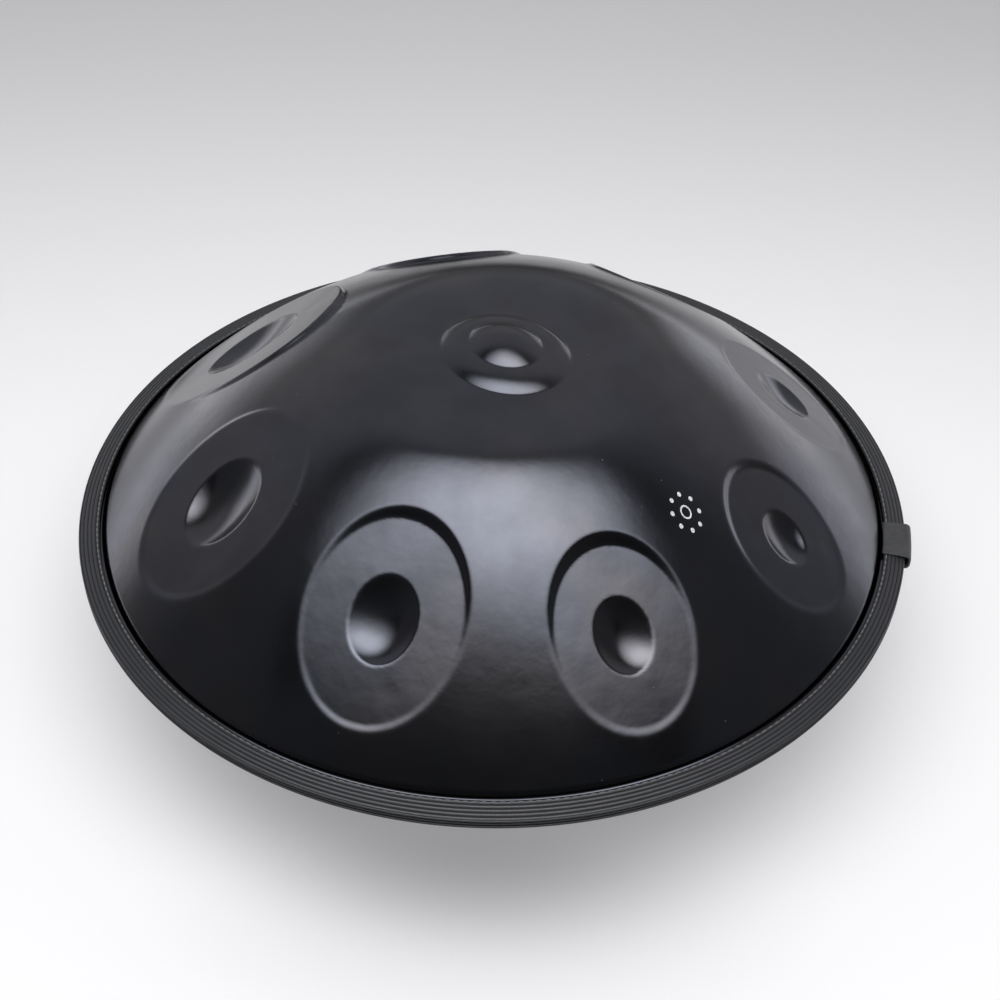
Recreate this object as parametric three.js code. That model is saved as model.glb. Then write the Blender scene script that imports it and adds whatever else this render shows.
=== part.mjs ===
// A handpan: two drawn steel shells glued rim to rim, with a woven guard folded over the rim.
// Millimetres, +Z up. The origin is the middle of the flat ring that the bottom shell rests on.

import * as THREE from 'three';

// ---- Driving dimensions -------------------------------------------------------------------------

const SHELL_RADIUS = 265;       // outer edge of both flanges
const WALL = 1.2;               // thickness of the steel sheet
const FLANGE_WIDTH = 13;        // flat band round each shell

const DOME_RISE = 143;          // the drawn dome's peak above the rim, before anything is flattened
const DOME_FOOT_INSET = 9;      // the dome's curve meets the rim's level this far inside the edge
const DOME_POWER = 1.8;         // 2 is a paraboloid, and less makes the side straighter
const RIM_FILLET_WIDTH = 7;     // run of the bend between the flange and the dome

const CROWN_SHIFT = new THREE.Vector2(8.8, -6.2);   // the central note lies a little off centre
const CROWN_SHIFT_START = 60;
const CROWN_SHIFT_END = 220;

const DING_TURN = -20;          // direction of the long axis of the central note, in degrees
const DING_PLATE = { long: 92, short: 80, softness: 0.09 };
const DING_SHOULDER = { long: 44, short: 36.5, rise: 6.5, edge: 0.28 };
const DING_DOME = { long: 26.5, short: 20, rise: 4.5 };

const FIELD_BORDER = 7;         // width of the bend round a tone field
const DIMPLE_DEPTH_SHARE = 0.12;   // depth of a dimple for each millimetre of its radius

// One entry for each tone field, going round anticlockwise from the front.
const TONE_FIELDS = [
  { azimuth: 270, distance: 183, radius: 49, dimple: 20.5 },
  { azimuth: 312, distance: 192, radius: 44, dimple: 17 },
  { azimuth: 353, distance: 198, radius: 41, dimple: 14.5 },
  { azimuth: 34, distance: 198, radius: 46, dimple: 18.5 },
  { azimuth: 76, distance: 192, radius: 51, dimple: 21.5 },
  { azimuth: 121, distance: 187, radius: 59, dimple: 27 },
  { azimuth: 172, distance: 186, radius: 65, dimple: 31 },
  { azimuth: 225, distance: 181, radius: 55, dimple: 24.5 },
];

const REST_RING_WIDTH = 34;     // flat ring round the port, on which the handpan stands
const PORT_RADIUS = 55;         // clear radius of the neck
const PORT_BEND = 8;            // radius of the bend from the rest ring into the neck
const NECK_HEIGHT = 36;

const GLUE_THICKNESS = 0.8;
const GLUE_INSET = 1;           // glue stops this far inside the flange's edge
const SEAT_GAP = 0.3;           // clearance between pieces that touch

const GUARD_THICKNESS = 1.1;    // woven tape
const GUARD_LIP_STANDOFF = 2;   // the tape's inner edge stops this far outside the flange's bend
const GUARD_EDGE_BULGE = 1.3;   // extra stuffing of the tape round the flange's edge
const GUARD_END_GAP = 1.5;      // the tape's two ends stop this far apart, under the clip

const THREAD_WIDTH = 0.8;
const THREAD_HEIGHT = 0.4;
const THREAD_INSET = 1.4;       // from the tape's inner edge to the line of stitches
const THREAD_GAP = 0.1;

const CLIP_AZIMUTH = 10;        // degrees
const CLIP_LENGTH = 31;
const CLIP_THICKNESS = 1.5;
const CLIP_REACH = 1.2;         // the clip reaches this far past the tape's inner edge

// ---- Mesh fineness ------------------------------------------------------------------------------

const TOP_SEGMENTS = 80;
const TOP_CROWN_RINGS = 6;
const TOP_SIDE_RINGS = 18;
const BOTTOM_SEGMENTS = 48;
const BOTTOM_SIDE_POINTS = 10;
const BEND_POINTS = 4;
const RING_SEGMENTS = 64;
const GUARD_CORNER_POINTS = 4;
const CLIP_SEGMENTS = 5;

// ---- Values worked out from the dimensions --------------------------------------------------------

const FLANGE_INNER = SHELL_RADIUS - FLANGE_WIDTH;
const FLANGE_FACE = GLUE_THICKNESS / 2 + SEAT_GAP;      // inner face of a flange, from the rim's level
const FLANGE_TOP = FLANGE_FACE + WALL;                  // outer face of a flange
const DOME_FOOT = SHELL_RADIUS - DOME_FOOT_INSET;

const GUARD_INNER_HALF = FLANGE_TOP + SEAT_GAP;
const GUARD_OUTER_HALF = GUARD_INNER_HALF + GUARD_THICKNESS;
const GUARD_CAVITY_RADIUS = SHELL_RADIUS + 2 * SEAT_GAP;
const GUARD_RADIUS = GUARD_CAVITY_RADIUS + GUARD_THICKNESS + GUARD_EDGE_BULGE;
const GUARD_LIP_RADIUS = FLANGE_INNER + GUARD_LIP_STANDOFF;

const REST_INNER = PORT_RADIUS + WALL + PORT_BEND;      // where the rest ring bends into the neck
const REST_OUTER = REST_INNER + REST_RING_WIDTH;
const BOTTOM_DROP = shellHeight(REST_OUTER);            // from the rim's level down to the rest ring
const RIM_LEVEL = BOTTOM_DROP;
const DING_LEVEL = shellHeight((DING_PLATE.long + DING_PLATE.short) / 2);

// ---- Small helpers ------------------------------------------------------------------------------

/** 1 below the first value, 0 above the second and a smooth fall between them. */
function fade(value, from, to) {
  return 1 - THREE.MathUtils.smoothstep(value, from, to);
}

/** A corner of a section, rounded as an arc of points. */
function arc(x, y, radius, from, to, count) {
  const points = [];
  for (let i = 0; i <= count; i++) {
    const angle = THREE.MathUtils.degToRad(from + (to - from) * i / count);
    points.push(new THREE.Vector2(x + radius * Math.cos(angle), y + radius * Math.sin(angle)));
  }
  return points;
}

/** Distance from an ellipse's middle as a share of the way to its edge. */
function ellipseShare(x, y, turn, long, short) {
  const angle = THREE.MathUtils.degToRad(turn);
  const along = x * Math.cos(angle) + y * Math.sin(angle);
  const across = y * Math.cos(angle) - x * Math.sin(angle);
  return Math.hypot(along / long, across / short);
}

/** A closed body from vertices and triangles. */
function bodyFrom(positions, indices) {
  const geometry = new THREE.BufferGeometry();
  geometry.setAttribute('position', new THREE.Float32BufferAttribute(positions, 3));
  geometry.setIndex(indices);
  geometry.computeVertexNormals();
  return geometry;
}

/** Turns a closed section, anticlockwise in (radius, height), all the way round the axis. */
function turnedRing(section, segments) {
  const closed = [...section, section[0]];
  const geometry = new THREE.LatheGeometry(closed, segments);
  geometry.rotateX(Math.PI / 2);
  return geometry;
}

/** Sweeps a section, anticlockwise in (radius, height), round part of the axis, with flat ends. */
function sweptArc(section, startAngle, sweep, segments) {
  const positions = [];
  const indices = [];
  const count = section.length;
  for (let i = 0; i <= segments; i++) {
    const angle = startAngle + sweep * i / segments;
    for (const p of section) {
      positions.push(p.x * Math.cos(angle), p.x * Math.sin(angle), p.y);
    }
  }
  for (let i = 0; i < segments; i++) {
    for (let j = 0; j < count; j++) {
      const a = i * count + j;
      const b = i * count + (j + 1) % count;
      indices.push(a, b + count, b, a, a + count, b + count);
    }
  }
  const last = segments * count;
  for (const [a, b, c] of THREE.ShapeUtils.triangulateShape(section, [])) {
    indices.push(a, b, c);
    indices.push(last + a, last + c, last + b);
  }
  return bodyFrom(positions, indices);
}

// ---- The drawn form of a shell --------------------------------------------------------------------

/** Height of a plain shell's outer face above the rim's level, before any note is hammered in. */
function shellHeight(radius) {
  const dome = DOME_RISE * (1 - Math.min(radius / DOME_FOOT, 1) ** DOME_POWER);
  const raised = fade(radius, FLANGE_INNER - RIM_FILLET_WIDTH, FLANGE_INNER);
  return FLANGE_TOP + Math.max(dome - FLANGE_TOP, 0) * raised;
}

/** How much of the crown's sideways shift applies at a radius. */
const crownShare = (radius) => fade(radius, CROWN_SHIFT_START, CROWN_SHIFT_END);

/** The central note: a flat plate, a shoulder on it and a rounded dome on the shoulder. */
function withDing(height, x, y) {
  const dx = x - CROWN_SHIFT.x;
  const dy = y - CROWN_SHIFT.y;
  const share = (part) => ellipseShare(dx, dy, DING_TURN, part.long, part.short);
  const plate = fade(share(DING_PLATE), 1 - DING_PLATE.softness, 1 + DING_PLATE.softness);
  const shoulder = fade(share(DING_SHOULDER), 1 - DING_SHOULDER.edge, 1);
  const dome = Math.max(1 - share(DING_DOME) ** 2, 0);
  const level = THREE.MathUtils.lerp(height, DING_LEVEL, plate);
  return level + shoulder * DING_SHOULDER.rise + dome * DING_DOME.rise;
}

/** A tone field: the dome cut flat inside the field's round edge, with a hollow dimple. */
function withField(height, x, y, field) {
  const angle = THREE.MathUtils.degToRad(field.azimuth);
  const outwards = x * Math.cos(angle) + y * Math.sin(angle) - field.distance;
  const sideways = y * Math.cos(angle) - x * Math.sin(angle);
  const away = Math.hypot(outwards, sideways);
  const upper = shellHeight(field.distance - field.radius);
  const lower = shellHeight(field.distance + field.radius);
  const level = THREE.MathUtils.mapLinear(outwards, -field.radius, field.radius, upper, lower);
  const plate = fade(away, field.radius - FIELD_BORDER, field.radius);
  const dimple = Math.max(1 - (away / field.dimple) ** 2, 0);
  const depth = DIMPLE_DEPTH_SHARE * field.dimple * dimple;
  return THREE.MathUtils.lerp(height, level, plate) - depth;
}

/** Height of the top shell's outer face above the rim's level. */
function topHeight(x, y) {
  const radius = Math.hypot(x, y);
  if (radius >= FLANGE_INNER) {
    return FLANGE_TOP;
  }
  const share = crownShare(radius);
  let height = shellHeight(Math.hypot(x - CROWN_SHIFT.x * share, y - CROWN_SHIFT.y * share));
  height = withDing(height, x, y);
  for (const field of TONE_FIELDS) {
    height = withField(height, x, y, field);
  }
  return Math.max(height, FLANGE_TOP);
}

// ---- Top shell ------------------------------------------------------------------------------------

/** Radii of the rings of vertices: close together on the central note, even down the side. */
function topRings() {
  const rings = [];
  const crown = DING_SHOULDER.long + FIELD_BORDER;
  for (let i = 1; i <= TOP_CROWN_RINGS; i++) {
    rings.push(crown * i / TOP_CROWN_RINGS);
  }
  for (let i = 1; i <= TOP_SIDE_RINGS; i++) {
    rings.push(crown + (FLANGE_INNER - crown) * i / TOP_SIDE_RINGS);
  }
  rings.push(SHELL_RADIUS);
  return rings;
}

/** A point of the top shell's outer face and the matching one on its inner face. */
function topPair(radius, angle) {
  const share = crownShare(radius);
  const x = radius * Math.cos(angle) + CROWN_SHIFT.x * share;
  const y = radius * Math.sin(angle) + CROWN_SHIFT.y * share;
  const outer = new THREE.Vector3(x, y, topHeight(x, y));
  if (radius >= FLANGE_INNER) {
    return [outer, outer.clone().setZ(FLANGE_FACE)];
  }
  const reach = 1;
  const slopeX = (topHeight(x + reach, y) - topHeight(x - reach, y)) / (2 * reach);
  const slopeY = (topHeight(x, y + reach) - topHeight(x, y - reach)) / (2 * reach);
  const normal = new THREE.Vector3(-slopeX, -slopeY, 1).normalize();
  return [outer, outer.clone().addScaledVector(normal, -WALL)];
}

function topShell() {
  const rings = topRings();
  const pairs = [topPair(0, 0)];
  for (const radius of rings) {
    for (let j = 0; j < TOP_SEGMENTS; j++) {
      pairs.push(topPair(radius, 2 * Math.PI * j / TOP_SEGMENTS));
    }
  }
  const positions = [];
  for (const face of [0, 1]) {
    for (const pair of pairs) {
      positions.push(pair[face].x, pair[face].y, pair[face].z);
    }
  }
  const under = pairs.length;
  const at = (ring, j) => 1 + ring * TOP_SEGMENTS + j % TOP_SEGMENTS;
  const indices = [];
  const addBoth = (a, b, c) => indices.push(a, b, c, under + a, under + c, under + b);
  for (let j = 0; j < TOP_SEGMENTS; j++) {
    addBoth(0, at(0, j), at(0, j + 1));
    for (let ring = 0; ring < rings.length - 1; ring++) {
      addBoth(at(ring, j), at(ring + 1, j), at(ring + 1, j + 1));
      addBoth(at(ring, j), at(ring + 1, j + 1), at(ring, j + 1));
    }
    const edge = at(rings.length - 1, j);
    const next = at(rings.length - 1, j + 1);
    indices.push(edge, under + edge, under + next);
    indices.push(edge, under + next, next);
  }
  return bodyFrom(positions, indices);
}

// ---- Bottom shell -----------------------------------------------------------------------------------

/** The bottom shell's outer face, from the flange to the rest ring's inner edge, as (radius, depth). */
function bottomSide() {
  const points = [new THREE.Vector2(SHELL_RADIUS, FLANGE_TOP)];
  for (let i = 0; i <= BOTTOM_SIDE_POINTS; i++) {
    const radius = THREE.MathUtils.lerp(FLANGE_INNER, REST_OUTER, i / BOTTOM_SIDE_POINTS);
    points.push(new THREE.Vector2(radius, shellHeight(radius)));
  }
  points.push(new THREE.Vector2(REST_INNER, BOTTOM_DROP));
  return points;
}

/** The sheet's inner face, a wall's thickness behind its outer face. */
function behind(points) {
  return points.map((point, i) => {
    if (point.x >= FLANGE_INNER) {
      return new THREE.Vector2(point.x, FLANGE_FACE);
    }
    if (i === points.length - 1) {
      return new THREE.Vector2(point.x, point.y - WALL);
    }
    const along = points[i + 1].clone().sub(points[i - 1]).normalize();
    return new THREE.Vector2(point.x - WALL * along.y, point.y + WALL * along.x);
  });
}

function bottomShell() {
  const side = bottomSide();
  const bendDepth = BOTTOM_DROP - WALL - PORT_BEND;
  const neckDepth = BOTTOM_DROP - NECK_HEIGHT;
  const outline = [
    ...side.slice(0, -1),
    ...arc(REST_INNER, bendDepth, PORT_BEND + WALL, 90, 180, BEND_POINTS),
    new THREE.Vector2(PORT_RADIUS, neckDepth),
    new THREE.Vector2(PORT_RADIUS + WALL, neckDepth),
    ...arc(REST_INNER, bendDepth, PORT_BEND, 180, 90, BEND_POINTS),
    ...behind(side).slice(0, -1).reverse(),
  ];
  const section = outline.map((p) => new THREE.Vector2(p.x, -p.y));
  return turnedRing(section.reverse(), BOTTOM_SEGMENTS);
}

// ---- Rim ------------------------------------------------------------------------------------------

/** A box section from two corners, anticlockwise in (radius, height). */
function boxSection(innerRadius, outerRadius, low, high) {
  return [
    new THREE.Vector2(innerRadius, low),
    new THREE.Vector2(outerRadius, low),
    new THREE.Vector2(outerRadius, high),
    new THREE.Vector2(innerRadius, high),
  ];
}

/** A U lying on its side, open towards the axis, with round outer corners. */
function channelSection(lip, cavityRadius, outerRadius, innerHalf, outerHalf, corner) {
  const turn = outerRadius - corner;
  const level = outerHalf - corner;
  return [
    new THREE.Vector2(lip, -outerHalf),
    ...arc(turn, -level, corner, -90, 0, GUARD_CORNER_POINTS),
    ...arc(turn, level, corner, 0, 90, GUARD_CORNER_POINTS),
    new THREE.Vector2(lip, outerHalf),
    new THREE.Vector2(lip, innerHalf),
    new THREE.Vector2(cavityRadius, innerHalf),
    new THREE.Vector2(cavityRadius, -innerHalf),
    new THREE.Vector2(lip, -innerHalf),
  ];
}

function flangeGlue() {
  const half = GLUE_THICKNESS / 2;
  const section = boxSection(FLANGE_INNER + GLUE_INSET, SHELL_RADIUS - GLUE_INSET, -half, half);
  return turnedRing(section, RING_SEGMENTS);
}

function guardBand() {
  const corner = GUARD_THICKNESS + GUARD_EDGE_BULGE;
  const section = channelSection(
    GUARD_LIP_RADIUS, GUARD_CAVITY_RADIUS, GUARD_RADIUS, GUARD_INNER_HALF, GUARD_OUTER_HALF, corner,
  );
  const gap = GUARD_END_GAP / GUARD_RADIUS;
  const start = THREE.MathUtils.degToRad(CLIP_AZIMUTH) + gap / 2;
  return sweptArc(section, start, 2 * Math.PI - gap, RING_SEGMENTS);
}

/** A line of stitches on one flap of the tape: side is 1 for the upper flap and -1 for the lower. */
function guardThread(side) {
  const middle = GUARD_LIP_RADIUS + THREAD_INSET;
  const near = side * (GUARD_OUTER_HALF + THREAD_GAP);
  const far = side * (GUARD_OUTER_HALF + THREAD_GAP + THREAD_HEIGHT);
  const half = THREAD_WIDTH / 2;
  const section = boxSection(middle - half, middle + half, Math.min(near, far), Math.max(near, far));
  return turnedRing(section, RING_SEGMENTS);
}

function joinerClip() {
  const innerHalf = GUARD_OUTER_HALF + THREAD_GAP + THREAD_HEIGHT + SEAT_GAP;
  const cavityRadius = GUARD_RADIUS + SEAT_GAP;
  const section = channelSection(
    GUARD_LIP_RADIUS - CLIP_REACH, cavityRadius, cavityRadius + CLIP_THICKNESS,
    innerHalf, innerHalf + CLIP_THICKNESS, CLIP_THICKNESS,
  );
  const sweep = CLIP_LENGTH / GUARD_RADIUS;
  const start = THREE.MathUtils.degToRad(CLIP_AZIMUTH) - sweep / 2;
  return sweptArc(section, start, sweep, CLIP_SEGMENTS);
}

// ---- Materials --------------------------------------------------------------------------------------

const nitridedSteel = () => new THREE.MeshStandardMaterial({
  color: 0x2b2c2f, roughness: 0.32, metalness: 0.85,
});
const glue = () => new THREE.MeshStandardMaterial({ color: 0x6d675c, roughness: 0.6, metalness: 0 });
const wovenTape = () => new THREE.MeshStandardMaterial({
  color: 0x3a3b3e, roughness: 0.85, metalness: 0,
});
const thread = () => new THREE.MeshStandardMaterial({ color: 0x9a9a98, roughness: 0.8, metalness: 0 });
const smoothRubber = () => new THREE.MeshStandardMaterial({
  color: 0x2f3033, roughness: 0.5, metalness: 0,
});

// ---- Assembly ---------------------------------------------------------------------------------------

const handpan = new THREE.Group();

/** Adds one piece, drawn about the rim's level. */
function addPiece(name, geometry, material) {
  const mesh = new THREE.Mesh(geometry, material);
  mesh.name = name;
  mesh.position.z = RIM_LEVEL;
  handpan.add(mesh);
}

addPiece('top_shell', topShell(), nitridedSteel());
addPiece('bottom_shell', bottomShell(), nitridedSteel());
addPiece('flange_glue', flangeGlue(), glue());
addPiece('guard_band', guardBand(), wovenTape());
addPiece('guard_thread_top', guardThread(1), thread());
addPiece('guard_thread_bottom', guardThread(-1), thread());
addPiece('joiner_clip', joinerClip(), smoothRubber());

export default handpan;
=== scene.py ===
"""A handpan: two hammered steel shells, nitrided nearly black, with a woven guard round the rim.

Lengths below are in millimetres, in the frame of the CAD model, and become metres where a mesh is
made. Heights on the shells are measured from the rim's middle level.
"""

import math

import bpy
import numpy as np
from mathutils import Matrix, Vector


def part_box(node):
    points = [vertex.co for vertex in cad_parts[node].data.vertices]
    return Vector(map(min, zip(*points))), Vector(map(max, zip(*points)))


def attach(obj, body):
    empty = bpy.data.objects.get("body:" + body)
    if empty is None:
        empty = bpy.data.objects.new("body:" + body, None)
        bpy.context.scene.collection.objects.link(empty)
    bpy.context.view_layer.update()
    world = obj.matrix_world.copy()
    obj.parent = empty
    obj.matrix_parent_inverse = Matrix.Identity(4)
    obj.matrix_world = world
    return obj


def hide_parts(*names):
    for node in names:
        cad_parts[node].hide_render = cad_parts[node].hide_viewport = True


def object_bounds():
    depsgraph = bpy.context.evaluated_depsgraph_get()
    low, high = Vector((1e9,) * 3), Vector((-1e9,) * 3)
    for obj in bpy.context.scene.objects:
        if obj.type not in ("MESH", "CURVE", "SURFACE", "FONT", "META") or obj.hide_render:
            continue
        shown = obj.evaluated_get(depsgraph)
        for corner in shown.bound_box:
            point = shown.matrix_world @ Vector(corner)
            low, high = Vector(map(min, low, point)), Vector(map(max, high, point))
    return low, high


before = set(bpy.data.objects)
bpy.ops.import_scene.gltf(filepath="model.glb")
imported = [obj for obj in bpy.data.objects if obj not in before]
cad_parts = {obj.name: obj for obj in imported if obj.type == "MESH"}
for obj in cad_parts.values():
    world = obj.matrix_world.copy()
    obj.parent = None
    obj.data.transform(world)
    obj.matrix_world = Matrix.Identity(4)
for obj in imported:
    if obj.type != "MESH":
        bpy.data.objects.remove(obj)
cad_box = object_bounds()

# ---- Sizes that the CAD model gives --------------------------------------------------------------

MM = 0.001


def node_box(node):
    """Lowest and highest corner of a CAD node, in millimetres."""
    low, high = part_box(node)
    return np.array(low) / MM, np.array(high) / MM


shell_low, shell_high = node_box("top_shell")
guard_low, guard_high = node_box("guard_band")
clip_low, clip_high = node_box("joiner_clip")

SHELL_RADIUS = (shell_high[0] - shell_low[0]) / 2
GUARD_RADIUS = (guard_high[0] - guard_low[0]) / 2
GUARD_HALF = (guard_high[2] - guard_low[2]) / 2
RIM_LEVEL = (guard_high[2] + guard_low[2]) / 2
CLIP_RADIUS = np.hypot(clip_high[0], (clip_low[1] + clip_high[1]) / 2)
CLIP_HALF = (clip_high[2] - clip_low[2]) / 2
CLIP_AZIMUTH = math.atan2(clip_low[1] + clip_high[1], clip_low[0] + clip_high[0])

# ---- The shells' form ----------------------------------------------------------------------------

WALL = 1.2
FLANGE_INNER = SHELL_RADIUS - 13
FLANGE_FACE = 0.7                     # the upper flange's underside, above the rim's middle level
FLANGE_TOP = FLANGE_FACE + WALL

DOME_RISE = 147
DOME_FOOT = SHELL_RADIUS - 9
DOME_POWER = 1.85
RIM_FILLET_START = SHELL_RADIUS - 14.5  # the bend between the dome and the flange
RIM_FILLET_END = SHELL_RADIUS - 12

CROWN_SHIFT = (9.8, -9.0)             # the central note lies a little off centre
CROWN_SHIFT_START = 60
CROWN_SHIFT_END = 220

DING_TURN = math.radians(-26)
CREASE_RISE = 0.14                    # a fine raised line along each crease of the ding
CREASE_SHARE = 0.018
DING_PLATE_RADIUS = 90
DING_PLATE_BEND = 6                   # softness of the bend between the plate and the dome
DING_SHOULDER = {"long": 43.5, "short": 37, "rise": 6.3, "start": 0.6}
DING_DOME = {"long": 25, "short": 21, "rise": 8.6}

FIELD_BORDER = 4.5
FIELD_BORDER_STRAIGHT = 0.6           # this share of the border slopes evenly, the rest is round
FIELD_TILT = 0.005                    # a plate is this much steeper than the chord across the dome
FIELD_BULGE = 0.45                    # how far a plate swells at its middle
FIELD_STEP = 0.4                      # how far a hammered plate is set below its border
DIMPLE_DEPTH_SHARE = 0.36             # depth of a dimple for each millimetre of its radius

# One entry for each tone field, going round anticlockwise from the front.
TONE_FIELDS = [
    {"azimuth": 270.5, "distance": 185, "radius": 50.5, "dimple": 20},
    {"azimuth": 312, "distance": 193.4, "radius": 44.5, "dimple": 17},
    {"azimuth": 351.5, "distance": 198, "radius": 41.5, "dimple": 14.5},
    {"azimuth": 31.5, "distance": 194, "radius": 46.5, "dimple": 18.5},
    {"azimuth": 73, "distance": 190, "radius": 51.5, "dimple": 21.5},
    {"azimuth": 122, "distance": 185, "radius": 59, "dimple": 27},
    {"azimuth": 174, "distance": 180, "radius": 65, "dimple": 31},
    {"azimuth": 226.4, "distance": 181, "radius": 55.5, "dimple": 24.5},
]

PORT_RADIUS = 55
PORT_BEND = 8
NECK_HEIGHT = 36

HAMMER_SEED = 7
HAMMER_MARKS_PER_FIELD = 26
HAMMER_MARK_RADIUS = (7, 13)
HAMMER_MARK_DEPTH = 0.09
HAMMER_MARK_MARGIN = 4                # marks keep this far from a field's dimple and its border


def fade(value, start, end):
    """1 before start, 0 after end, and a smooth S between."""
    share = np.clip((value - start) / (end - start), 0, 1)
    return 1 - share * share * (3 - 2 * share)


def dome_height(radius):
    """The drawn shell's height above the rim, before anything is flattened."""
    dome = DOME_RISE * (1 - np.minimum(radius / DOME_FOOT, 1) ** DOME_POWER)
    bend = fade(radius, RIM_FILLET_START, RIM_FILLET_END)
    return FLANGE_TOP + np.maximum(dome - FLANGE_TOP, 0) * bend


def dome_slope(radius):
    share = np.clip(radius / DOME_FOOT, 0, 1)
    return DOME_RISE * DOME_POWER / DOME_FOOT * share ** (DOME_POWER - 1)


def border_rise(share):
    """Height across a field's border: a crease at the plate, a straight slope, then a soft edge."""
    share = np.clip(share, 0, 1)
    straight = FIELD_BORDER_STRAIGHT
    round_off = 1 / (1 - straight**2)
    slope = 2 * round_off * (1 - straight)
    return np.where(share < straight, slope * share, 1 - round_off * (1 - share) ** 2)


def ellipse_share(along, across, ellipse):
    return np.hypot(along / ellipse["long"], across / ellipse["short"])


def with_ding(height, x, y):
    """Adds the central note: a flat plate, a raised shoulder and a small dome on it."""
    dx, dy = x - CROWN_SHIFT[0], y - CROWN_SHIFT[1]
    along = dx * math.cos(DING_TURN) + dy * math.sin(DING_TURN)
    across = dy * math.cos(DING_TURN) - dx * math.sin(DING_TURN)
    level = dome_height(DING_PLATE_RADIUS)
    height = (level + height - np.hypot(level - height, DING_PLATE_BEND)) / 2
    start = DING_SHOULDER["start"]
    roll = np.maximum((ellipse_share(along, across, DING_SHOULDER) - start) / (1 - start), 0)
    dome = np.maximum(1 - ellipse_share(along, across, DING_DOME) ** 2, 0)
    for ellipse in (DING_SHOULDER, DING_DOME):
        off_crease = (ellipse_share(along, across, ellipse) - 1) / CREASE_SHARE
        height = height + CREASE_RISE * np.exp(-(off_crease**2))
    return height + DING_SHOULDER["rise"] * np.maximum(1 - roll**2, 0) + DING_DOME["rise"] * dome


def with_field(height, x, y, field):
    """Cuts one tone field flat, sets it down by its step, and sinks its dimple."""
    turn = math.radians(field["azimuth"])
    outward = x * math.cos(turn) + y * math.sin(turn) - field["distance"]
    sideways = y * math.cos(turn) - x * math.sin(turn)
    away = np.hypot(outward, sideways)
    radius = field["radius"]
    upper = dome_height(field["distance"] - radius)
    lower = dome_height(field["distance"] + radius)
    plate = upper + (lower - upper) * (outward + radius) / (2 * radius)
    swell = np.maximum(1 - (away / radius) ** 2, 0)
    plate = plate - FIELD_STEP - FIELD_TILT * outward + FIELD_BULGE * swell
    height = plate + (height - plate) * border_rise((away - radius) / FIELD_BORDER + 1)
    bowl = np.maximum(1 - (away / field["dimple"]) ** 2, 0)
    return height - DIMPLE_DEPTH_SHARE * field["dimple"] * bowl


def hammer_marks():
    """Places of the shallow marks that the hammer leaves on the tone fields."""
    draw = np.random.default_rng(HAMMER_SEED)
    marks = []
    for field in TONE_FIELDS:
        turn = math.radians(field["azimuth"])
        middle = field["distance"] * np.array([math.cos(turn), math.sin(turn)])
        for _ in range(HAMMER_MARKS_PER_FIELD):
            around = draw.uniform(0, 2 * math.pi)
            away = draw.uniform(
                field["dimple"] + HAMMER_MARK_MARGIN, field["radius"] - HAMMER_MARK_MARGIN
            )
            place = middle + away * np.array([math.cos(around), math.sin(around)])
            depth = HAMMER_MARK_DEPTH * draw.uniform(-0.7, 1)
            marks.append((place, draw.uniform(*HAMMER_MARK_RADIUS), depth))
    return marks


MARKS = hammer_marks()


def top_height(x, y):
    """Height of the playing side over a place in plan."""
    radius = np.hypot(x, y)
    share = fade(radius, CROWN_SHIFT_START, CROWN_SHIFT_END)
    height = dome_height(np.hypot(x - CROWN_SHIFT[0] * share, y - CROWN_SHIFT[1] * share))
    height = with_ding(height, x, y)
    for field in TONE_FIELDS:
        height = with_field(height, x, y, field)
    for place, width, depth in MARKS:
        distance = (x - place[0]) ** 2 + (y - place[1]) ** 2
        height = height - depth * np.exp(-distance / (width / 2) ** 2)
    return np.where(radius >= RIM_FILLET_END, FLANGE_TOP, np.maximum(height, FLANGE_TOP))


# ---- Making meshes -------------------------------------------------------------------------------


def add_piece(name, points, faces, finish, slot, *nodes):
    """A smooth piece of the handpan, from points in millimetres, that stands for the CAD nodes."""
    mesh = bpy.data.meshes.new(name)
    mesh.from_pydata((np.asarray(points) * MM).tolist(), [], faces)
    mesh.polygons.foreach_set("use_smooth", [True] * len(mesh.polygons))
    mesh.materials.append(finish)
    piece = bpy.data.objects.new(name, mesh)
    bpy.context.scene.collection.objects.link(piece)
    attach(piece, "root")
    if nodes:
        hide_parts(*nodes)
    return piece


def faces_between(first, first_count, second, second_count):
    """Faces from one closed ring of points to the next, which may have as many, twice or half."""
    count = min(first_count, second_count)
    step = np.arange(count)
    after = (step + 1) % count
    if first_count == second_count:
        return np.stack([first + step, second + step, second + after, first + after], 1).tolist()
    left, middle, right = 2 * step, 2 * step + 1, 2 * after
    if first_count < second_count:
        fans = [
            (first + step, second + left, second + middle),
            (first + step, second + middle, first + after),
            (first + after, second + middle, second + right),
        ]
    else:
        fans = [
            (first + left, second + step, first + middle),
            (first + middle, second + step, second + after),
            (first + middle, second + after, first + right),
        ]
    return [face for fan in fans for face in np.stack(fan, 1).tolist()]


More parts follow.
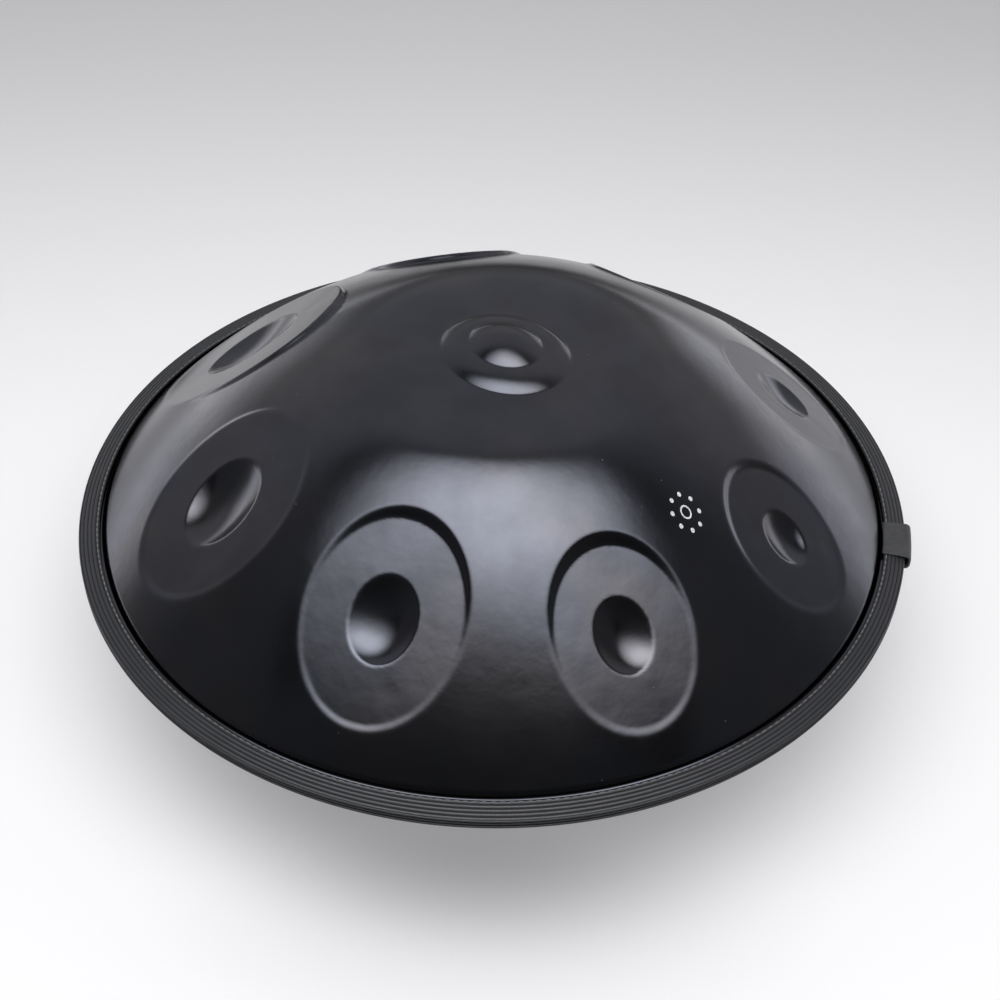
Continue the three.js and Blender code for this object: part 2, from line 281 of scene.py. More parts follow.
def domed_sheet(rings, height_of):
    """A sheet of rings about the axis, closed by a point at its start and its end.

    Each ring is its radius, its number of points, and how far it lies under the outer face.
    """
    points, faces, starts = [], [], []
    total = 1
    for radius, count, _ in rings:
        starts.append(total)
        total += count
    angle = [np.arange(count) * 2 * math.pi / count for _, count, _ in rings]
    x = np.concatenate([r * np.cos(a) for (r, _, _), a in zip(rings, angle)])
    y = np.concatenate([r * np.sin(a) for (r, _, _), a in zip(rings, angle)])
    under = np.concatenate([np.full(count, depth) for _, count, depth in rings])
    points = np.stack([x, y, RIM_LEVEL + height_of(x, y) - under], 1)
    middle = height_of(np.zeros(1), np.zeros(1))[0] + RIM_LEVEL
    points = np.vstack([[0, 0, middle - rings[0][2]], points, [0, 0, middle - rings[-1][2]]])
    first = rings[0][1]
    faces += [[0, 1 + i, 1 + (i + 1) % first] for i in range(first)]
    for ring in range(len(rings) - 1):
        faces += faces_between(starts[ring], rings[ring][1], starts[ring + 1], rings[ring + 1][1])
    last, count = starts[-1], rings[-1][1]
    faces += [[last + i, total, last + (i + 1) % count] for i in range(count)]
    return points, faces


def turned(section, columns):
    """A ring with a closed section, given anticlockwise as radius and height."""
    section = np.asarray(section, float)
    angle = np.arange(columns) * 2 * math.pi / columns
    x = section[:, 0][None, :] * np.cos(angle)[:, None]
    y = section[:, 0][None, :] * np.sin(angle)[:, None]
    z = np.broadcast_to(RIM_LEVEL + section[:, 1][None, :], x.shape)
    points = np.stack([x.ravel(), y.ravel(), z.ravel()], 1)
    width = len(section)
    faces = []
    for column in range(columns):
        here, there = column * width, ((column + 1) % columns) * width
        faces += faces_between(there, width, here, width)
    return points, faces


def swept(sections, angles):
    """A bar along the rim through closed sections of equal length, with both ends closed."""
    points, faces = [], []
    width = len(sections[0])
    for section, angle in zip(sections, angles):
        section = np.asarray(section, float)
        x, y = section[:, 0] * math.cos(angle), section[:, 0] * math.sin(angle)
        points.append(np.stack([x, y, RIM_LEVEL + section[:, 1]], 1))
    for column in range(len(sections) - 1):
        faces += faces_between((column + 1) * width, width, column * width, width)
    last = (len(sections) - 1) * width
    faces.append(list(range(width))[::-1])
    faces.append([last + i for i in range(width)])
    return np.vstack(points), faces


def arc(centre_radius, centre_height, radius, start, end, count):
    """Points on an arc of a section, in degrees from straight outward."""
    angle = np.radians(np.linspace(start, end, count))
    out, up = radius * np.cos(angle), radius * np.sin(angle)
    return np.stack([centre_radius + out, centre_height + up], 1)


# ---- Studio sizes, in metres ---------------------------------------------------------------------

FLOOR_SIZE = 16.0
LENS = 59.4
CAMERA_AZIMUTH = math.radians(19.5)
CAMERA_ELEVATION = math.radians(41.88)
CAMERA_DISTANCE = 1.0894
CAMERA_AIM = (0.0046, -0.0038)        # to the camera's right and up from the rim's centre
CAMERA_ROLL = math.radians(1.1)

FRONT_GLOW = 0.05
SIDE_GLOW = 0.17
WALL_GLOW_LOW = 0.07
WALL_GLOW_HIGH = 0.38
PANEL_GLOW = 1.3                      # of the pale panels at both sides of the back
WORLD_GLOW = 2.0                      # the brightest that the surroundings may be
SOFTBOX_BEARING = -92
SOFTBOX_ELEVATION = 70
SOFTBOX_TURN = math.radians(-6)       # its right end comes forward
SOFTBOX_SIZE = (3.8, 1.75)            # width and depth to where its glow ends
SOFTBOX_HOT = 0.15                    # share of its size that is fully bright
SOFTBOX_DISTANCE = 1.6
SOFTBOX_GLOW = 5.5
PAPER_GLOW = 2.0                      # the paper's brightest painted glow, and below it that of each part
PAPER_GLOW_MIDDLE = 0.27
PAPER_GLOW_SIDE = 0.6
PAPER_GLOW_FAR = 1.0
PAPER_FRONT_SHADE = 0.5               # share of the painted glow that is lost in the painted shadow in front
PAPER_SHADE_FORWARD = 0.26            # how far the shade's middle lies before the rim's centre
PAPER_SHADE_REACH = (0.24, 0.085)     # half its width and half its depth

# ---- Finishes ------------------------------------------------------------------------------------


class Reading:
    """A number that a node gives, so that shader maths is written as plain expressions."""

    def __init__(self, finish, socket):
        self.finish = finish
        self.socket = socket

    def maths(self, operation, *values):
        return self.finish.node("ShaderNodeMath", {"operation": operation}, dict(enumerate(values)))

    def __add__(self, other):
        return self.maths("ADD", self, other)

    def __radd__(self, other):
        return self.maths("ADD", other, self)

    def __sub__(self, other):
        return self.maths("SUBTRACT", self, other)

    def __rsub__(self, other):
        return self.maths("SUBTRACT", other, self)

    def __mul__(self, other):
        return self.maths("MULTIPLY", self, other)

    def __rmul__(self, other):
        return self.maths("MULTIPLY", other, self)

    def __truediv__(self, other):
        return self.maths("DIVIDE", self, other)

    def __rtruediv__(self, other):
        return self.maths("DIVIDE", other, self)

    def sine(self):
        return self.maths("SINE", self)

    def root(self):
        return self.maths("SQRT", self)

    def absolute(self):
        return self.maths("ABSOLUTE", self)

    def between(self, low, high):
        """0 below low, 1 above high, and a smooth S between."""
        inputs = {"Value": self, "From Min": low, "From Max": high}
        return self.finish.node("ShaderNodeMapRange", {"interpolation_type": "SMOOTHSTEP"}, inputs)


class Nodes:
    """A tree of shader nodes."""

    def __init__(self, tree):
        self.tree = tree

    def node(self, kind, settings=None, inputs=None, output=0):
        """Adds a node: its settings first, then the values or links of its sockets."""
        made = self.tree.nodes.new(kind)
        for name, value in (settings or {}).items():
            setattr(made, name, value)
        for name, value in (inputs or {}).items():
            self.feed(made.inputs[name], value)
        return Reading(self, made.outputs[output])

    def feed(self, socket, value):
        if isinstance(value, Reading):
            self.tree.links.new(value.socket, socket)
        else:
            socket.default_value = value

    def axes(self, place):
        parts = self.node("ShaderNodeSeparateXYZ", None, {0: place}).socket.node
        return [Reading(self, parts.outputs[axis]) for axis in range(3)]

    def blend(self, share, first, second):
        inputs = {0: share, 6: first, 7: second}
        return self.node("ShaderNodeMix", {"data_type": "RGBA"}, inputs, output=2)


class Finish(Nodes):
    """A material with one Principled shader, fed by patterns in the object's own coordinates."""

    def __init__(self, name, **constants):
        self.material = bpy.data.materials.new(name)
        self.material.use_nodes = True
        super().__init__(self.material.node_tree)
        self.tree.nodes.clear()
        self.shader = self.tree.nodes.new("ShaderNodeBsdfPrincipled")
        out = self.tree.nodes.new("ShaderNodeOutputMaterial")
        self.tree.links.new(self.shader.outputs[0], out.inputs[0])
        for socket, value in constants.items():
            self.shader.inputs[socket.replace("_", " ")].default_value = value
        self.place = self.node("ShaderNodeTexCoord", output="Object")

    def shade(self, **links):
        for socket, value in links.items():
            self.feed(self.shader.inputs[socket.replace("_", " ")], value)

    def noise(self, size, detail=2.0, roughness=0.5, place=None):
        """Cloudy noise from 0 to 1, with features about size millimetres across."""
        inputs = {"Vector": place or self.place, "Scale": 1 / (size * MM)}
        inputs |= {"Detail": detail, "Roughness": roughness}
        return self.node("ShaderNodeTexNoise", None, inputs)

    def cells(self, size):
        """Distance to the nearest of many scattered points, about size millimetres apart."""
        inputs = {"Vector": self.place, "Scale": 1 / (size * MM)}
        return self.node("ShaderNodeTexVoronoi", None, inputs)

    def stretched(self, x, y, z):
        """The place with each axis scaled, for streaks."""
        inputs = {0: self.place, 1: (x, y, z)}
        return self.node("ShaderNodeVectorMath", {"operation": "MULTIPLY"}, inputs)

    def bump(self, height, distance, strength=1.0, under=None):
        """A normal from a height of 0 to 1 that stands for distance millimetres."""
        inputs = {"Height": height, "Distance": distance * MM, "Strength": strength}
        if under:
            inputs["Normal"] = under
        return self.node("ShaderNodeBump", None, inputs)


def nitrided_steel():
    """Near-black oxide on hammered steel: satin, cloudy, with fine grain and a little dust."""
    steel = Finish("nitrided_steel", Metallic=1.0)
    cloud = steel.noise(34, 4.0, 0.55)
    patch = steel.noise(85, 2.0)
    grain = steel.noise(1.3, 3.0, 0.6, steel.stretched(1.0, 1.0, 0.09))
    fine = steel.noise(0.35, 2.0)
    specks = steel.cells(9)
    near_speck = 1 - specks.between(0.018, 0.05)
    dusty = steel.noise(19, 1.0).between(0.50, 0.62) * near_speck
    cool, warm = (0.073, 0.077, 0.092, 1), (0.084, 0.082, 0.090, 1)
    oxide = steel.blend(patch.between(0.42, 0.66), cool, warm)
    oxide = steel.blend(cloud.between(0.3, 0.7) * 0.45, oxide, (0.05, 0.052, 0.06, 1))
    colour = steel.blend(dusty * 0.35, oxide, (0.5, 0.5, 0.5, 1))
    rough = 0.11 + cloud * 0.12 + grain * 0.04 + dusty * 0.4
    normal = steel.bump(grain, 0.006)
    normal = steel.bump(cloud, 0.25, under=normal)
    normal = steel.bump(fine, 0.0015, under=normal)
    steel.shade(Base_Color=colour, Roughness=rough, Normal=normal)
    return steel.material


TAPE_CORDS = 1500                     # fine cords of the weave, round the whole rim
THREAD_TWIST = (3600, 2600)           # turn of the thread's strands with the angle and with height


def woven_tape():
    """Dark ribbed tape: shiny crowns, fine cords across them, and painted shade in every groove,
    near black and rougher there.
    """
    tape = Finish("woven_tape", Specular_IOR_Level=0.7)
    x, y, z = tape.axes(tape.place)
    from_axis = (x * x + y * y).root() / MM
    height = z / MM - RIM_LEVEL
    around = tape.node("ShaderNodeMath", {"operation": "ARCTAN2"}, {0: y, 1: x})
    cords = ((around * TAPE_CORDS).sine() + 1) * 0.5
    fluff = tape.noise(0.5, 3.0, 0.7)
    wear = tape.noise(14, 3.0, 0.6)
    flap_end = GUARD_RADIUS - GUARD_CORNER
    rib_pitch = (flap_end - GUARD_LIP) / RIBS
    crown = ((from_axis - GUARD_LIP) * (math.pi / rib_pitch)).sine().absolute()
    on_flap = 1 - from_axis.between(flap_end, flap_end + 0.2)
    # Painted shade: the band under the lip, the valleys between the ribs and the two grooves in the
    # fold are coloured near black below, and made rougher.
    under_lip = 1 - from_axis.between(GUARD_LIP + 0.3, GUARD_LIP + 1.1)
    painted_groove_shade = (1 - crown.between(0.1, 0.75)) * on_flap + under_lip * 0.7
    for groove in EDGE_GROOVES:
        painted_groove_shade = painted_groove_shade + (1 - (height - groove).absolute().between(0.55, 0.95)) * (1 - on_flap)
    shade = cords * 0.3 + fluff * 0.45 + wear * 0.25
    deep, pale = (0.006, 0.007, 0.010, 1), (0.026, 0.028, 0.036, 1)
    colour = tape.blend(shade.between(0.3, 0.75), deep, pale)
    # Paints the shade in the grooves near black.
    colour = tape.blend(painted_groove_shade, colour, (0.001, 0.001, 0.0015, 1))
    normal = tape.bump(cords * 0.5 + fluff * 0.5, 0.09)
    tape.shade(Base_Color=colour, Roughness=0.28 + fluff * 0.25 + painted_groove_shade * 0.5, Normal=normal)
    return tape.material


def sewing_thread():
    """Pale grey thread, twisted from fine strands."""
    thread = Finish("sewing_thread", Specular_IOR_Level=0.4, Sheen_Weight=0.2)
    x, y, z = thread.axes(thread.place)
    around = thread.node("ShaderNodeMath", {"operation": "ARCTAN2"}, {0: y, 1: x})
    strands = ((around * THREAD_TWIST[0] + z * THREAD_TWIST[1]).sine() + 1) * 0.5
    fluff = thread.noise(0.3, 2.0)
    dark, light = (0.07, 0.07, 0.08, 1), (0.24, 0.24, 0.26, 1)
    colour = thread.blend(strands * 0.7 + fluff * 0.3, dark, light)
    thread.shade(Base_Color=colour, Roughness=0.6 + fluff * 0.3, Normal=thread.bump(strands, 0.08))
    return thread.material


def clip_rubber():
    """Smooth dark rubber with a matt bloom."""
    rubber = Finish("clip_rubber", Specular_IOR_Level=0.45)
    bloom = rubber.noise(5, 4.0, 0.6)
    pores = rubber.noise(0.4, 2.0)
    clean, bloomed = (0.032, 0.033, 0.036, 1), (0.048, 0.049, 0.053, 1)
    colour = rubber.blend(bloom.between(0.3, 0.7), clean, bloomed)
    rubber.shade(Base_Color=colour, Roughness=0.42 + bloom * 0.16, Normal=rubber.bump(pores, 0.012))
    return rubber.material


def cured_glue():
    """Amber-grey adhesive with small bubbles and flow marks."""
    glue = Finish("cured_glue", Specular_IOR_Level=0.5)
    flow = glue.noise(6, 3.0)
    bubbles = glue.cells(1.6)
    colour = glue.blend(flow, (0.12, 0.10, 0.075, 1), (0.21, 0.185, 0.15, 1))
    glue.shade(Base_Color=colour, Roughness=0.35 + flow * 0.3, Normal=glue.bump(bubbles, 0.1))
    return glue.material


def pale_ink():
    """Screen-printed ink, slightly uneven."""
    ink = Finish("pale_ink", Specular_IOR_Level=0.3)
    cover = ink.noise(0.8, 3.0, 0.6)
    thin, full = (0.42, 0.42, 0.43, 1), (0.70, 0.70, 0.71, 1)
    colour = ink.blend(cover.between(0.25, 0.6), thin, full)
    ink.shade(Base_Color=colour, Roughness=0.5 + cover * 0.2, Normal=ink.bump(cover, 0.01))
    return ink.material


def paper_floor():
    """Matt white studio paper with painted light: a painted glow, bright at both far sides and dim
    towards the back, a painted shadow just in front, and colour painted dark grey where it stands
    unlit.
    """
    paper = Finish("paper_floor", Specular_IOR_Level=0.1, Emission_Strength=PAPER_GLOW)
    fibre = paper.noise(2.5, 3.0, 0.6)
    x, y, _ = paper.axes(paper.place)
    beside = x * math.cos(CAMERA_AZIMUTH) + y * math.sin(CAMERA_AZIMUTH)
    behind = y * math.cos(CAMERA_AZIMUTH) - x * math.sin(CAMERA_AZIMUTH)
    wide = beside.absolute()
    along_front = beside / PAPER_SHADE_REACH[0]
    from_front = (behind + PAPER_SHADE_FORWARD) / PAPER_SHADE_REACH[1]
    # Painted shadow: the glow is dimmed in an oval just in front of the pan.
    in_front = 1 - (along_front * along_front + from_front * from_front).root().between(0, 1)
    middle = PAPER_GLOW_MIDDLE * (1 - 0.75 * behind.between(0.0, 1.0))
    middle = middle * (1 - PAPER_FRONT_SHADE * in_front)
    side = PAPER_GLOW_SIDE * wide.between(0.6, 1.1) + PAPER_GLOW_FAR * wide.between(1.1, 1.8)
    # Painted shade: the paper's colour is made dark grey where it is meant to be unlit.
    unlit_side = wide.between(0.6, 0.95) * (1 - behind.between(0.0, 0.5))
    unlit = unlit_side + behind.between(1.05, 1.5) * (1 - wide.between(0.5, 0.9))
    # Painted light: the paper itself glows by this pattern, though it is no lamp.
    glow = (middle * (1 - unlit) + side * behind.between(0.2, 0.7)) / PAPER_GLOW
    pale = paper.blend(fibre, (0.690, 0.683, 0.700, 1), (0.710, 0.703, 0.720, 1))
    paper.shade(
        Base_Color=paper.blend(unlit, pale, (0.16, 0.16, 0.165, 1)),
        Emission_Color=paper.blend(glow, (0, 0, 0, 1), (0.99, 0.985, 1, 1)),
        Roughness=0.9 + fibre * 0.05,
    )
    return paper.material


# ---- Top shell -----------------------------------------------------------------------------------

# Start and end radius of a zone of rings, their spacing, and the points on each ring.
TOP_RINGS = [
    (1, 8, 1.0, 120),
    (8, 14, 1.0, 240),
    (14, 60, 0.5, 480),
    (60, 124, 2.5, 480),
    (124, 256, 1.1, 960),
]
FLANGE_RINGS = (258, 261)
INNER_STEP = 5.0
INNER_COLUMNS = 240


def top_shell_piece(finish):
    rings = []
    for start, end, step, count in TOP_RINGS:
        rings += [(radius, count, 0) for radius in np.arange(start, end, step)]
    columns = TOP_RINGS[-1][3]
    edge = WALL / 2
    rings += [(radius, columns, 0) for radius in (*FLANGE_RINGS, SHELL_RADIUS - 0.5)]
    for turn in np.radians(np.linspace(65, -65, 5)):
        radius = SHELL_RADIUS - edge + edge * math.cos(turn)
        rings.append((radius, columns, edge - edge * math.sin(turn)))
    rings += [(SHELL_RADIUS - 1, columns, WALL), (SHELL_RADIUS - 4, columns // 2, WALL)]
    for radius in np.arange(SHELL_RADIUS - 9, INNER_STEP, -INNER_STEP):
        rings.append((radius, INNER_COLUMNS, WALL * math.hypot(1, dome_slope(radius))))
    points, faces = domed_sheet(rings, top_height)
    return add_piece("top_shell_skin", points, faces, finish, "nitrided_steel", "top_shell")


# ---- Bottom shell --------------------------------------------------------------------------------

BOTTOM_COLUMNS = 480
BOTTOM_LEVEL_RADIUS = 100             # inside this the bottom is nearly level
REST_BEND = 3.0                       # softness of the bend round the rest ring


def bottom_depth(radius):
    """How far the bottom shell's outer face lies under the rim's middle level."""
    over = dome_height(radius) - RIM_LEVEL
    return RIM_LEVEL + (over - np.hypot(over, REST_BEND)) / 2


def bottom_shell_piece(finish):
    neck = PORT_RADIUS + PORT_BEND
    outer = np.concatenate([
        np.linspace(neck + 2, DOME_FOOT - 16, 90),
        np.linspace(DOME_FOOT - 15, FLANGE_INNER + 1, 18),
        np.linspace(FLANGE_INNER + 3, SHELL_RADIUS - WALL / 2, 4),
    ])
    slope = dome_slope(outer) * (outer > BOTTOM_LEVEL_RADIUS)
    under = WALL * np.where(outer < FLANGE_INNER, np.hypot(1, slope), 1)
    outside = np.stack([outer, -bottom_depth(outer)], 1)
    inside = np.stack([outer, -bottom_depth(outer) + under], 1)
    base = -RIM_LEVEL
    tip = base + NECK_HEIGHT
    lip = arc(PORT_RADIUS + WALL / 2, tip - WALL / 2, WALL / 2, 0, 180, 7)
    down_neck = np.linspace(NECK_HEIGHT - WALL, PORT_BEND + 2, 12)
    section = np.vstack([
        [(PORT_RADIUS, base + height) for height in down_neck],
        arc(neck, base + PORT_BEND, PORT_BEND, 180, 270, 12),
        outside,
        arc(SHELL_RADIUS - WALL / 2, -FLANGE_FACE - WALL / 2, WALL / 2, -60, 60, 5),
        inside[::-1],
        arc(neck, base + PORT_BEND, PORT_BEND - WALL, 270, 180, 12),
        [(PORT_RADIUS + WALL, base + height) for height in down_neck[::-1]],
        lip,
    ])
    points, faces = turned(section, BOTTOM_COLUMNS)
    return add_piece("bottom_shell_skin", points, faces, finish, "nitrided_steel", "bottom_shell")


# ---- Guard, stitches and clip --------------------------------------------------------------------

GUARD_LIP = FLANGE_INNER + 2.6
GUARD_LIP_RISE = 1.5                  # the flap's inner edge lifts off the flange by this much
GUARD_FALL = 1.6                      # and the flap falls away towards the fold
GUARD_FALL_POWER = 1.4
GUARD_THICKNESS = 1.1
GUARD_CORNER = 0.9
GUARD_CLEARANCE = 0.1                 # between the flap's underside and the flange
GUARD_END_GAP = 1.5
GUARD_COLUMNS = 900
RIBS = 5
RIB_RISE = 0.7
EDGE_GROOVES = (1.5, -0.9)            # heights of the grooves in the guard's outer edge
EDGE_GROOVE_DEPTH = 1.75
EDGE_GROOVE_WIDTH = 1.5


def flap_level(radius):
    """Height of the upper flap's face over the rim's middle level."""
    share = np.clip((radius - GUARD_LIP) / (GUARD_RADIUS - GUARD_CORNER - GUARD_LIP), 0, 1)
    return GUARD_HALF + GUARD_LIP_RISE - GUARD_FALL * share**GUARD_FALL_POWER


def guard_section():
    """The folded tape: ribs along both flaps, and two deep grooves in the fold."""
    flap_end = GUARD_RADIUS - GUARD_CORNER
    along = np.linspace(GUARD_LIP + 0.2, flap_end, RIBS * 10 + 1)
    phase = (along - GUARD_LIP) / (flap_end - GUARD_LIP) * RIBS
    level = flap_level(along) - RIB_RISE * (1 - np.abs(np.sin(math.pi * phase)))
    upper = np.stack([along, level], 1)
    top = flap_level(flap_end) - GUARD_CORNER
    heights = np.linspace(top, -top, 37)
    dent = sum(np.exp(-((heights - h) / (EDGE_GROOVE_WIDTH / 2)) ** 2) for h in EDGE_GROOVES)
    fold = np.stack([GUARD_RADIUS - EDGE_GROOVE_DEPTH * dent, heights], 1)
    corner = arc(flap_end, top, GUARD_CORNER, 80, 10, 6)
    outside = np.vstack([upper, corner, fold, (corner * (1, -1))[::-1], (upper * (1, -1))[::-1]])
    cavity = GUARD_RADIUS - GUARD_THICKNESS - GUARD_CORNER
    hem = arc(GUARD_LIP + 0.5, flap_level(GUARD_LIP) - 0.5, 0.5, 180, 110, 4)
    inward = np.linspace(GUARD_LIP, cavity, 7)
    under = np.maximum(flap_level(inward) - GUARD_THICKNESS, FLANGE_TOP + GUARD_CLEARANCE)
    inner = np.vstack([hem[::-1], np.stack([inward, under], 1)])
    inside = np.vstack([(inner * (1, -1)), inner[::-1]])
    return np.vstack([outside, inside])[::-1]


def guard_piece(finish):
    gap = GUARD_END_GAP / GUARD_RADIUS
    start, end = CLIP_AZIMUTH + gap / 2, CLIP_AZIMUTH + 2 * math.pi - gap / 2
    angles = np.linspace(start, end, GUARD_COLUMNS)
    points, faces = swept([guard_section()] * GUARD_COLUMNS, angles)
    return add_piece("guard_tape", points, faces, finish, "woven_tape", "guard_band")


STITCH_PITCH = 5.0
STITCH_LENGTH = 3.5
STITCH_WIDTH = 0.8
STITCH_INSET = 1.4
STITCH_ROWS = 8
STITCH_CORNERS = 8


def stitches_piece(side, name, node, finish):
    """One line of stitches: side is 1 for the upper flap and -1 for the lower."""
    middle = GUARD_LIP + STITCH_INSET
    count = round(2 * math.pi * middle / STITCH_PITCH)
    around = STITCH_CORNERS
    points, faces = [], []
    for stitch in range(count):
        centre = 2 * math.pi * (stitch + 0.5) / count
        start = len(points)
        for row in range(STITCH_ROWS):
            share = math.cos(math.pi * row / (STITCH_ROWS - 1))
            girth = STITCH_WIDTH / 2 * math.sqrt(max(1 - share**4, 0.02))
            lift = flap_level(middle) + 0.12 - 0.3 * share * share
            angle = centre - STITCH_LENGTH / 2 * share / middle
            for corner in range(around):
                turn = 2 * math.pi * corner / around
                radius = middle + girth * math.cos(turn)
                x, y = radius * math.cos(angle), radius * math.sin(angle)
                height = side * (lift + 0.8 * girth * math.sin(turn))
                points.append((x, y, RIM_LEVEL + height))
        for row in range(STITCH_ROWS - 1):
            here, there = start + row * around, start + (row + 1) * around
            first, second = (there, here) if side > 0 else (here, there)
            faces += faces_between(first, around, second, around)
        ends = [list(range(start, start + around)), list(range(len(points) - around, len(points)))]
        faces.append(ends[0][::side])
        faces.append(ends[1][::-side])
    return add_piece(name, points, faces, finish, "thread", node)


CLIP_THICKNESS = 1.5
CLIP_LENGTH = 31
CLIP_REACH = 1.2
CLIP_ROWS = 40
CLIP_EDGE = 0.7                       # rounding of the clip's edges
CLIP_CORNER = 3.2                     # bend of its middle line round the guard's fold
CLIP_FLAP_POINTS = 12


def clip_section(thickness):
    """The loop's C-shaped section about its own middle line."""
    half, out = CLIP_HALF - CLIP_THICKNESS / 2, CLIP_RADIUS - CLIP_THICKNESS / 2
    lip = GUARD_LIP - CLIP_REACH
    flap = np.linspace(lip, out - CLIP_CORNER, CLIP_FLAP_POINTS)
    upper = np.vstack([
        np.stack([flap, np.full(CLIP_FLAP_POINTS, half)], 1),
        arc(out - CLIP_CORNER, half - CLIP_CORNER, CLIP_CORNER, 85, 5, 9),
    ])
    line = np.vstack([upper, (upper * (1, -1))[::-1]])
    step = np.gradient(line, axis=0)
    step /= np.linalg.norm(step, axis=1)[:, None]
    normal = np.stack([-step[:, 1], step[:, 0]], 1)
    order = np.arange(len(line))
    distance = np.minimum(order, order[::-1]) * (flap[1] - flap[0])
    taper = np.sqrt(np.clip(1 - (1 - np.clip(distance / CLIP_EDGE, 0.02, 1)) ** 2, 0, 1))
    offset = normal * (thickness / 2 * taper)[:, None]
    return np.vstack([line + offset, (line - offset)[::-1]])[::-1]


def clip_piece(finish):
    sections, angles = [], []
    for row in range(CLIP_ROWS + 1):
        share = 2 * row / CLIP_ROWS - 1
        share = math.sin(share * math.pi / 2)
        place = share * CLIP_LENGTH / 2
        edge = max((abs(place) - CLIP_LENGTH / 2 + CLIP_EDGE) / CLIP_EDGE, 0)
        sections.append(clip_section(CLIP_THICKNESS * math.sqrt(max(1 - edge * edge, 0.05))))
        angles.append(CLIP_AZIMUTH + place / GUARD_RADIUS)
    points, faces = swept(sections, angles)
    return add_piece("joiner_loop", points, faces, finish, "clip_rubber", "joiner_clip")


# ---- Small maker's sign: a plan of the instrument in dots ----------------------------------------

SIGN_AZIMUTH = math.radians(-26)
SIGN_DISTANCE = 158
SIGN_RADIUS = 9
SIGN_DOT = 1.25
SIGN_RING = (2.6, 3.5)
INK_RISE = 0.05


def sign_piece(finish):
    """A ring with eight dots about it, printed between two tone fields."""
    middle = SIGN_DISTANCE * np.array([math.cos(SIGN_AZIMUTH), math.sin(SIGN_AZIMUTH)])
    points, faces = [], []

    def print_band(centre, inner, outer, count=36):
        """A flat printed ring, or a dot where inner is next to nothing, on the shell's face."""
        start = len(points)
        corners = ((inner, -INK_RISE), (inner, INK_RISE), (outer, INK_RISE), (outer, -INK_RISE))
        for radius, rise in corners:
            for step in range(count):
                turn = 2 * math.pi * step / count
                x, y = centre + radius * np.array([math.cos(turn), math.sin(turn)])
                height = float(top_height(np.array([x]), np.array([y]))[0])
                points.append((x, y, RIM_LEVEL + height + rise))
        for ring in range(4):
            here, there = start + ring * count, start + (ring + 1) % 4 * count
            faces.extend(faces_between(here, count, there, count))

    print_band(middle, *SIGN_RING)
    for dot in range(len(TONE_FIELDS)):
        turn = 2 * math.pi * dot / len(TONE_FIELDS)
        spot = middle + SIGN_RADIUS * np.array([math.cos(turn), math.sin(turn)])
        print_band(spot, 0.05, SIGN_DOT, 20)
    return add_piece("maker_sign", points, faces, finish, "thread")


# ---- The handpan ---------------------------------------------------------------------------------

steel = nitrided_steel()
thread = sewing_thread()

top_shell_piece(steel)
bottom_shell_piece(steel)
guard_piece(woven_tape())
stitches_piece(1, "upper_stitches", "guard_thread_top", thread)
stitches_piece(-1, "lower_stitches", "guard_thread_bottom", thread)
clip_piece(clip_rubber())
sign_piece(pale_ink())

glue_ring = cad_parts["flange_glue"]
glue_ring.data.materials.clear()
glue_ring.data.materials.append(cured_glue())

# ---- Studio --------------------------------------------------------------------------------------

rim_centre = Vector((0, 0, RIM_LEVEL * MM))
toward_camera = Vector((
    math.cos(CAMERA_ELEVATION) * math.sin(CAMERA_AZIMUTH),
    -math.cos(CAMERA_ELEVATION) * math.cos(CAMERA_AZIMUTH),
    math.sin(CAMERA_ELEVATION),
))
camera_right = Vector((math.cos(CAMERA_AZIMUTH), math.sin(CAMERA_AZIMUTH), 0))
camera_up = toward_camera.cross(camera_right)


def aim(thing, target):
    thing.rotation_euler = (thing.location - target).to_track_quat("Z", "Y").to_euler()


def add_camera():
    data = bpy.data.cameras.new("camera")
    data.lens = LENS
    data.sensor_width = 36
    camera = bpy.data.objects.new("camera", data)
    bpy.context.scene.collection.objects.link(camera)
    camera.location = rim_centre + toward_camera * CAMERA_DISTANCE
    aim(camera, rim_centre + camera_right * CAMERA_AIM[0] + camera_up * CAMERA_AIM[1])
    camera.rotation_euler.rotate_axis("Z", CAMERA_ROLL)
    bpy.context.scene.camera = camera


def add_sheet(name, width, depth, finish):
    """A flat sheet of the studio, about its own middle."""
    across, along = width / 2, depth / 2
    corners = [(-across, -along, 0), (across, -along, 0), (across, along, 0), (-across, along, 0)]
    mesh = bpy.data.meshes.new(name)
    mesh.from_pydata(corners, [], [(0, 1, 2, 3)])
    mesh.materials.append(finish)
    sheet = bpy.data.objects.new(name, mesh)
    bpy.context.scene.collection.objects.link(sheet)
    return sheet


def softbox_cloth():
    """Glowing cloth, hot in the middle and fading to its edge."""
    cloth = Finish("softbox_cloth", Base_Color=(0, 0, 0, 1), Emission_Strength=SOFTBOX_GLOW)
    x, y, _ = cloth.axes(cloth.place)
    across, along = x / (SOFTBOX_SIZE[0] / 2), y / (SOFTBOX_SIZE[1] / 2)
    reach = (across * across + along * along).root()
    white, black = (1, 1, 1, 1), (0, 0, 0, 1)
    cloth.shade(Emission_Color=cloth.blend(reach.between(SOFTBOX_HOT, 1), white, black))
    return cloth.material


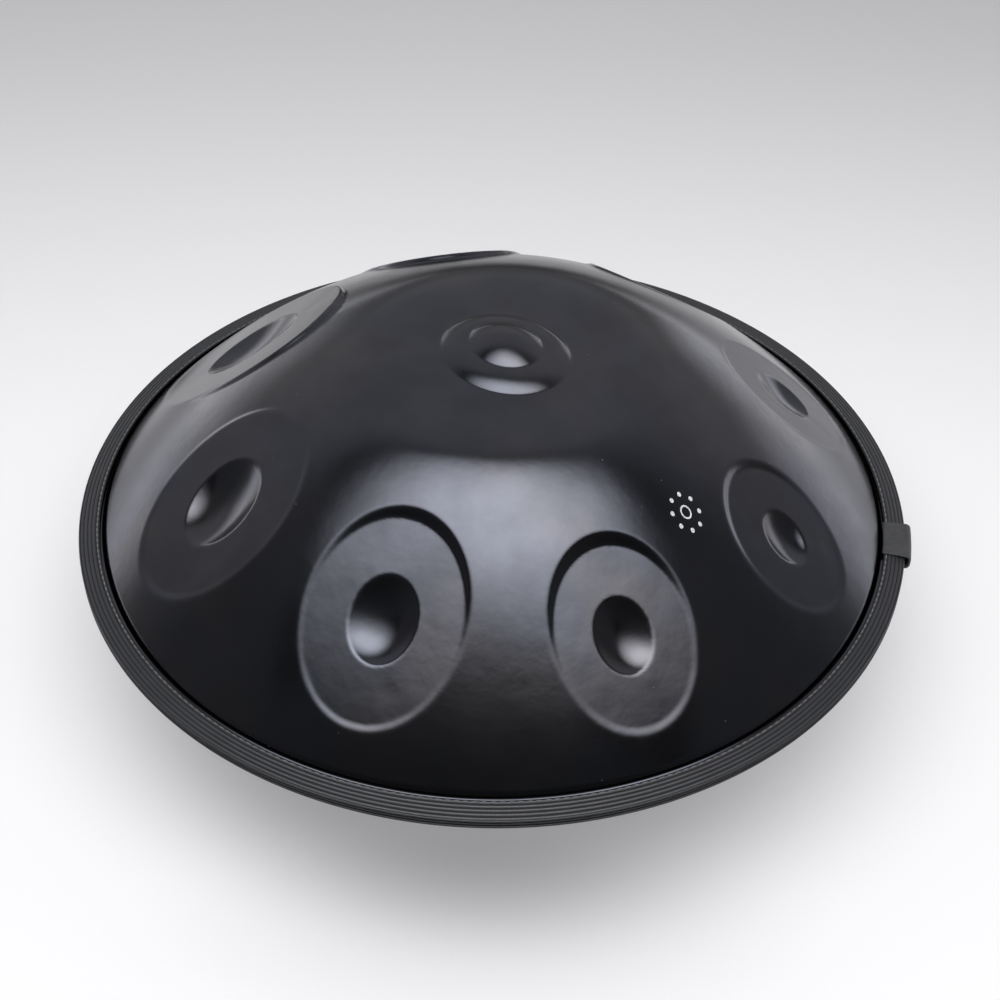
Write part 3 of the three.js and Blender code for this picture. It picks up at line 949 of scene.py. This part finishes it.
def add_overhead_softbox(finish):
    """A wide softbox, placed at a bearing from the camera's right, that the camera doesn't see."""
    turn, rise = math.radians(SOFTBOX_BEARING) + CAMERA_AZIMUTH, math.radians(SOFTBOX_ELEVATION)
    level = math.cos(rise)
    away = Vector((level * math.cos(turn), level * math.sin(turn), math.sin(rise)))
    softbox = add_sheet("overhead_softbox", *SOFTBOX_SIZE, finish)
    softbox.location = rim_centre + away * SOFTBOX_DISTANCE
    aim(softbox, rim_centre)
    softbox.rotation_euler.rotate_axis("Z", SOFTBOX_TURN)
    softbox.visible_camera = False


def add_floor(finish):
    floor = add_sheet("paper_sweep", FLOOR_SIZE, FLOOR_SIZE, finish)
    floor.location.z = cad_box[0][2]


def light_world():
    """Dim surroundings: nearly black in front, grey at the sides, and a pale wall behind."""
    world = bpy.data.worlds.new("studio")
    world.use_nodes = True
    sky = Nodes(world.node_tree)
    direction = sky.node("ShaderNodeTexCoord", output="Generated")
    x, y, up = sky.axes(direction)
    behind = y * math.cos(CAMERA_AZIMUTH) - x * math.sin(CAMERA_AZIMUTH)
    beside = x * math.cos(CAMERA_AZIMUTH) + y * math.sin(CAMERA_AZIMUTH)
    wide = beside.absolute()
    panel = behind.between(0.1, 0.5) * wide.between(0.3, 0.55) * (1 - wide.between(0.88, 0.98))
    panels = PANEL_GLOW * panel * (1 - up.absolute().between(0.0, 0.25))
    wall = WALL_GLOW_LOW + (WALL_GLOW_HIGH - WALL_GLOW_LOW) * up.between(0.05, 0.4)
    wall = behind.between(0.0, 0.5) * wall
    front = FRONT_GLOW + (SIDE_GLOW - FRONT_GLOW) * behind.between(-0.95, -0.1)
    glow = (wall + panels + front) / WORLD_GLOW
    background = world.node_tree.nodes["Background"]
    background.inputs["Strength"].default_value = WORLD_GLOW
    sky.feed(background.inputs["Color"], sky.blend(glow, (0, 0, 0, 1), (0.985, 0.975, 1.0, 1)))
    bpy.context.scene.world = world


add_floor(paper_floor())
add_camera()
light_world()
add_overhead_softbox(softbox_cloth())
bpy.context.scene.view_settings.view_transform = "Standard"
